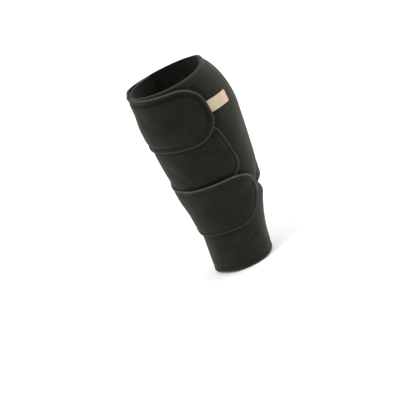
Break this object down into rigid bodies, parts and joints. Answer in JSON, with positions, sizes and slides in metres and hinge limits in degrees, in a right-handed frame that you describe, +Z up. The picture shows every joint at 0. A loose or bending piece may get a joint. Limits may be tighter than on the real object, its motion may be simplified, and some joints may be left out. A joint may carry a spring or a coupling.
{
  "type": "inelastic compression wrap",
  "caption": "Lower-leg compression wrap: a soft laminate panel shaped to the calf and lapped along its length, closed round the shin by broad overlapping straps with rounded tips.",
  "frame": {"origin": "on the leg's axis, level with the wrap's lower hem", "axes": "+Z up the leg from ankle to knee, -Y towards the shin, +Y towards the calf, +X the outer side of a left leg, where the strap tips are"},
  "size_m": [0.133, 0.1296, 0.2746],
  "materials": {
    "panel": "matt charcoal loop fabric on a thin foam laminate",
    "strap": "matt black loop fabric with a bound edge",
    "hook": "black hook tape",
    "label": "woven satin ribbon in cream, with a coral band"
  },
  "bodies": {
    "root": {"body": "panel", "upper_strap": "strap", "middle_strap": "strap", "lower_strap": "strap", "upper_hook_tab": "hook", "middle_hook_tab": "hook", "lower_hook_tab": "hook", "label": "label"}
  },
  "joints": []
}
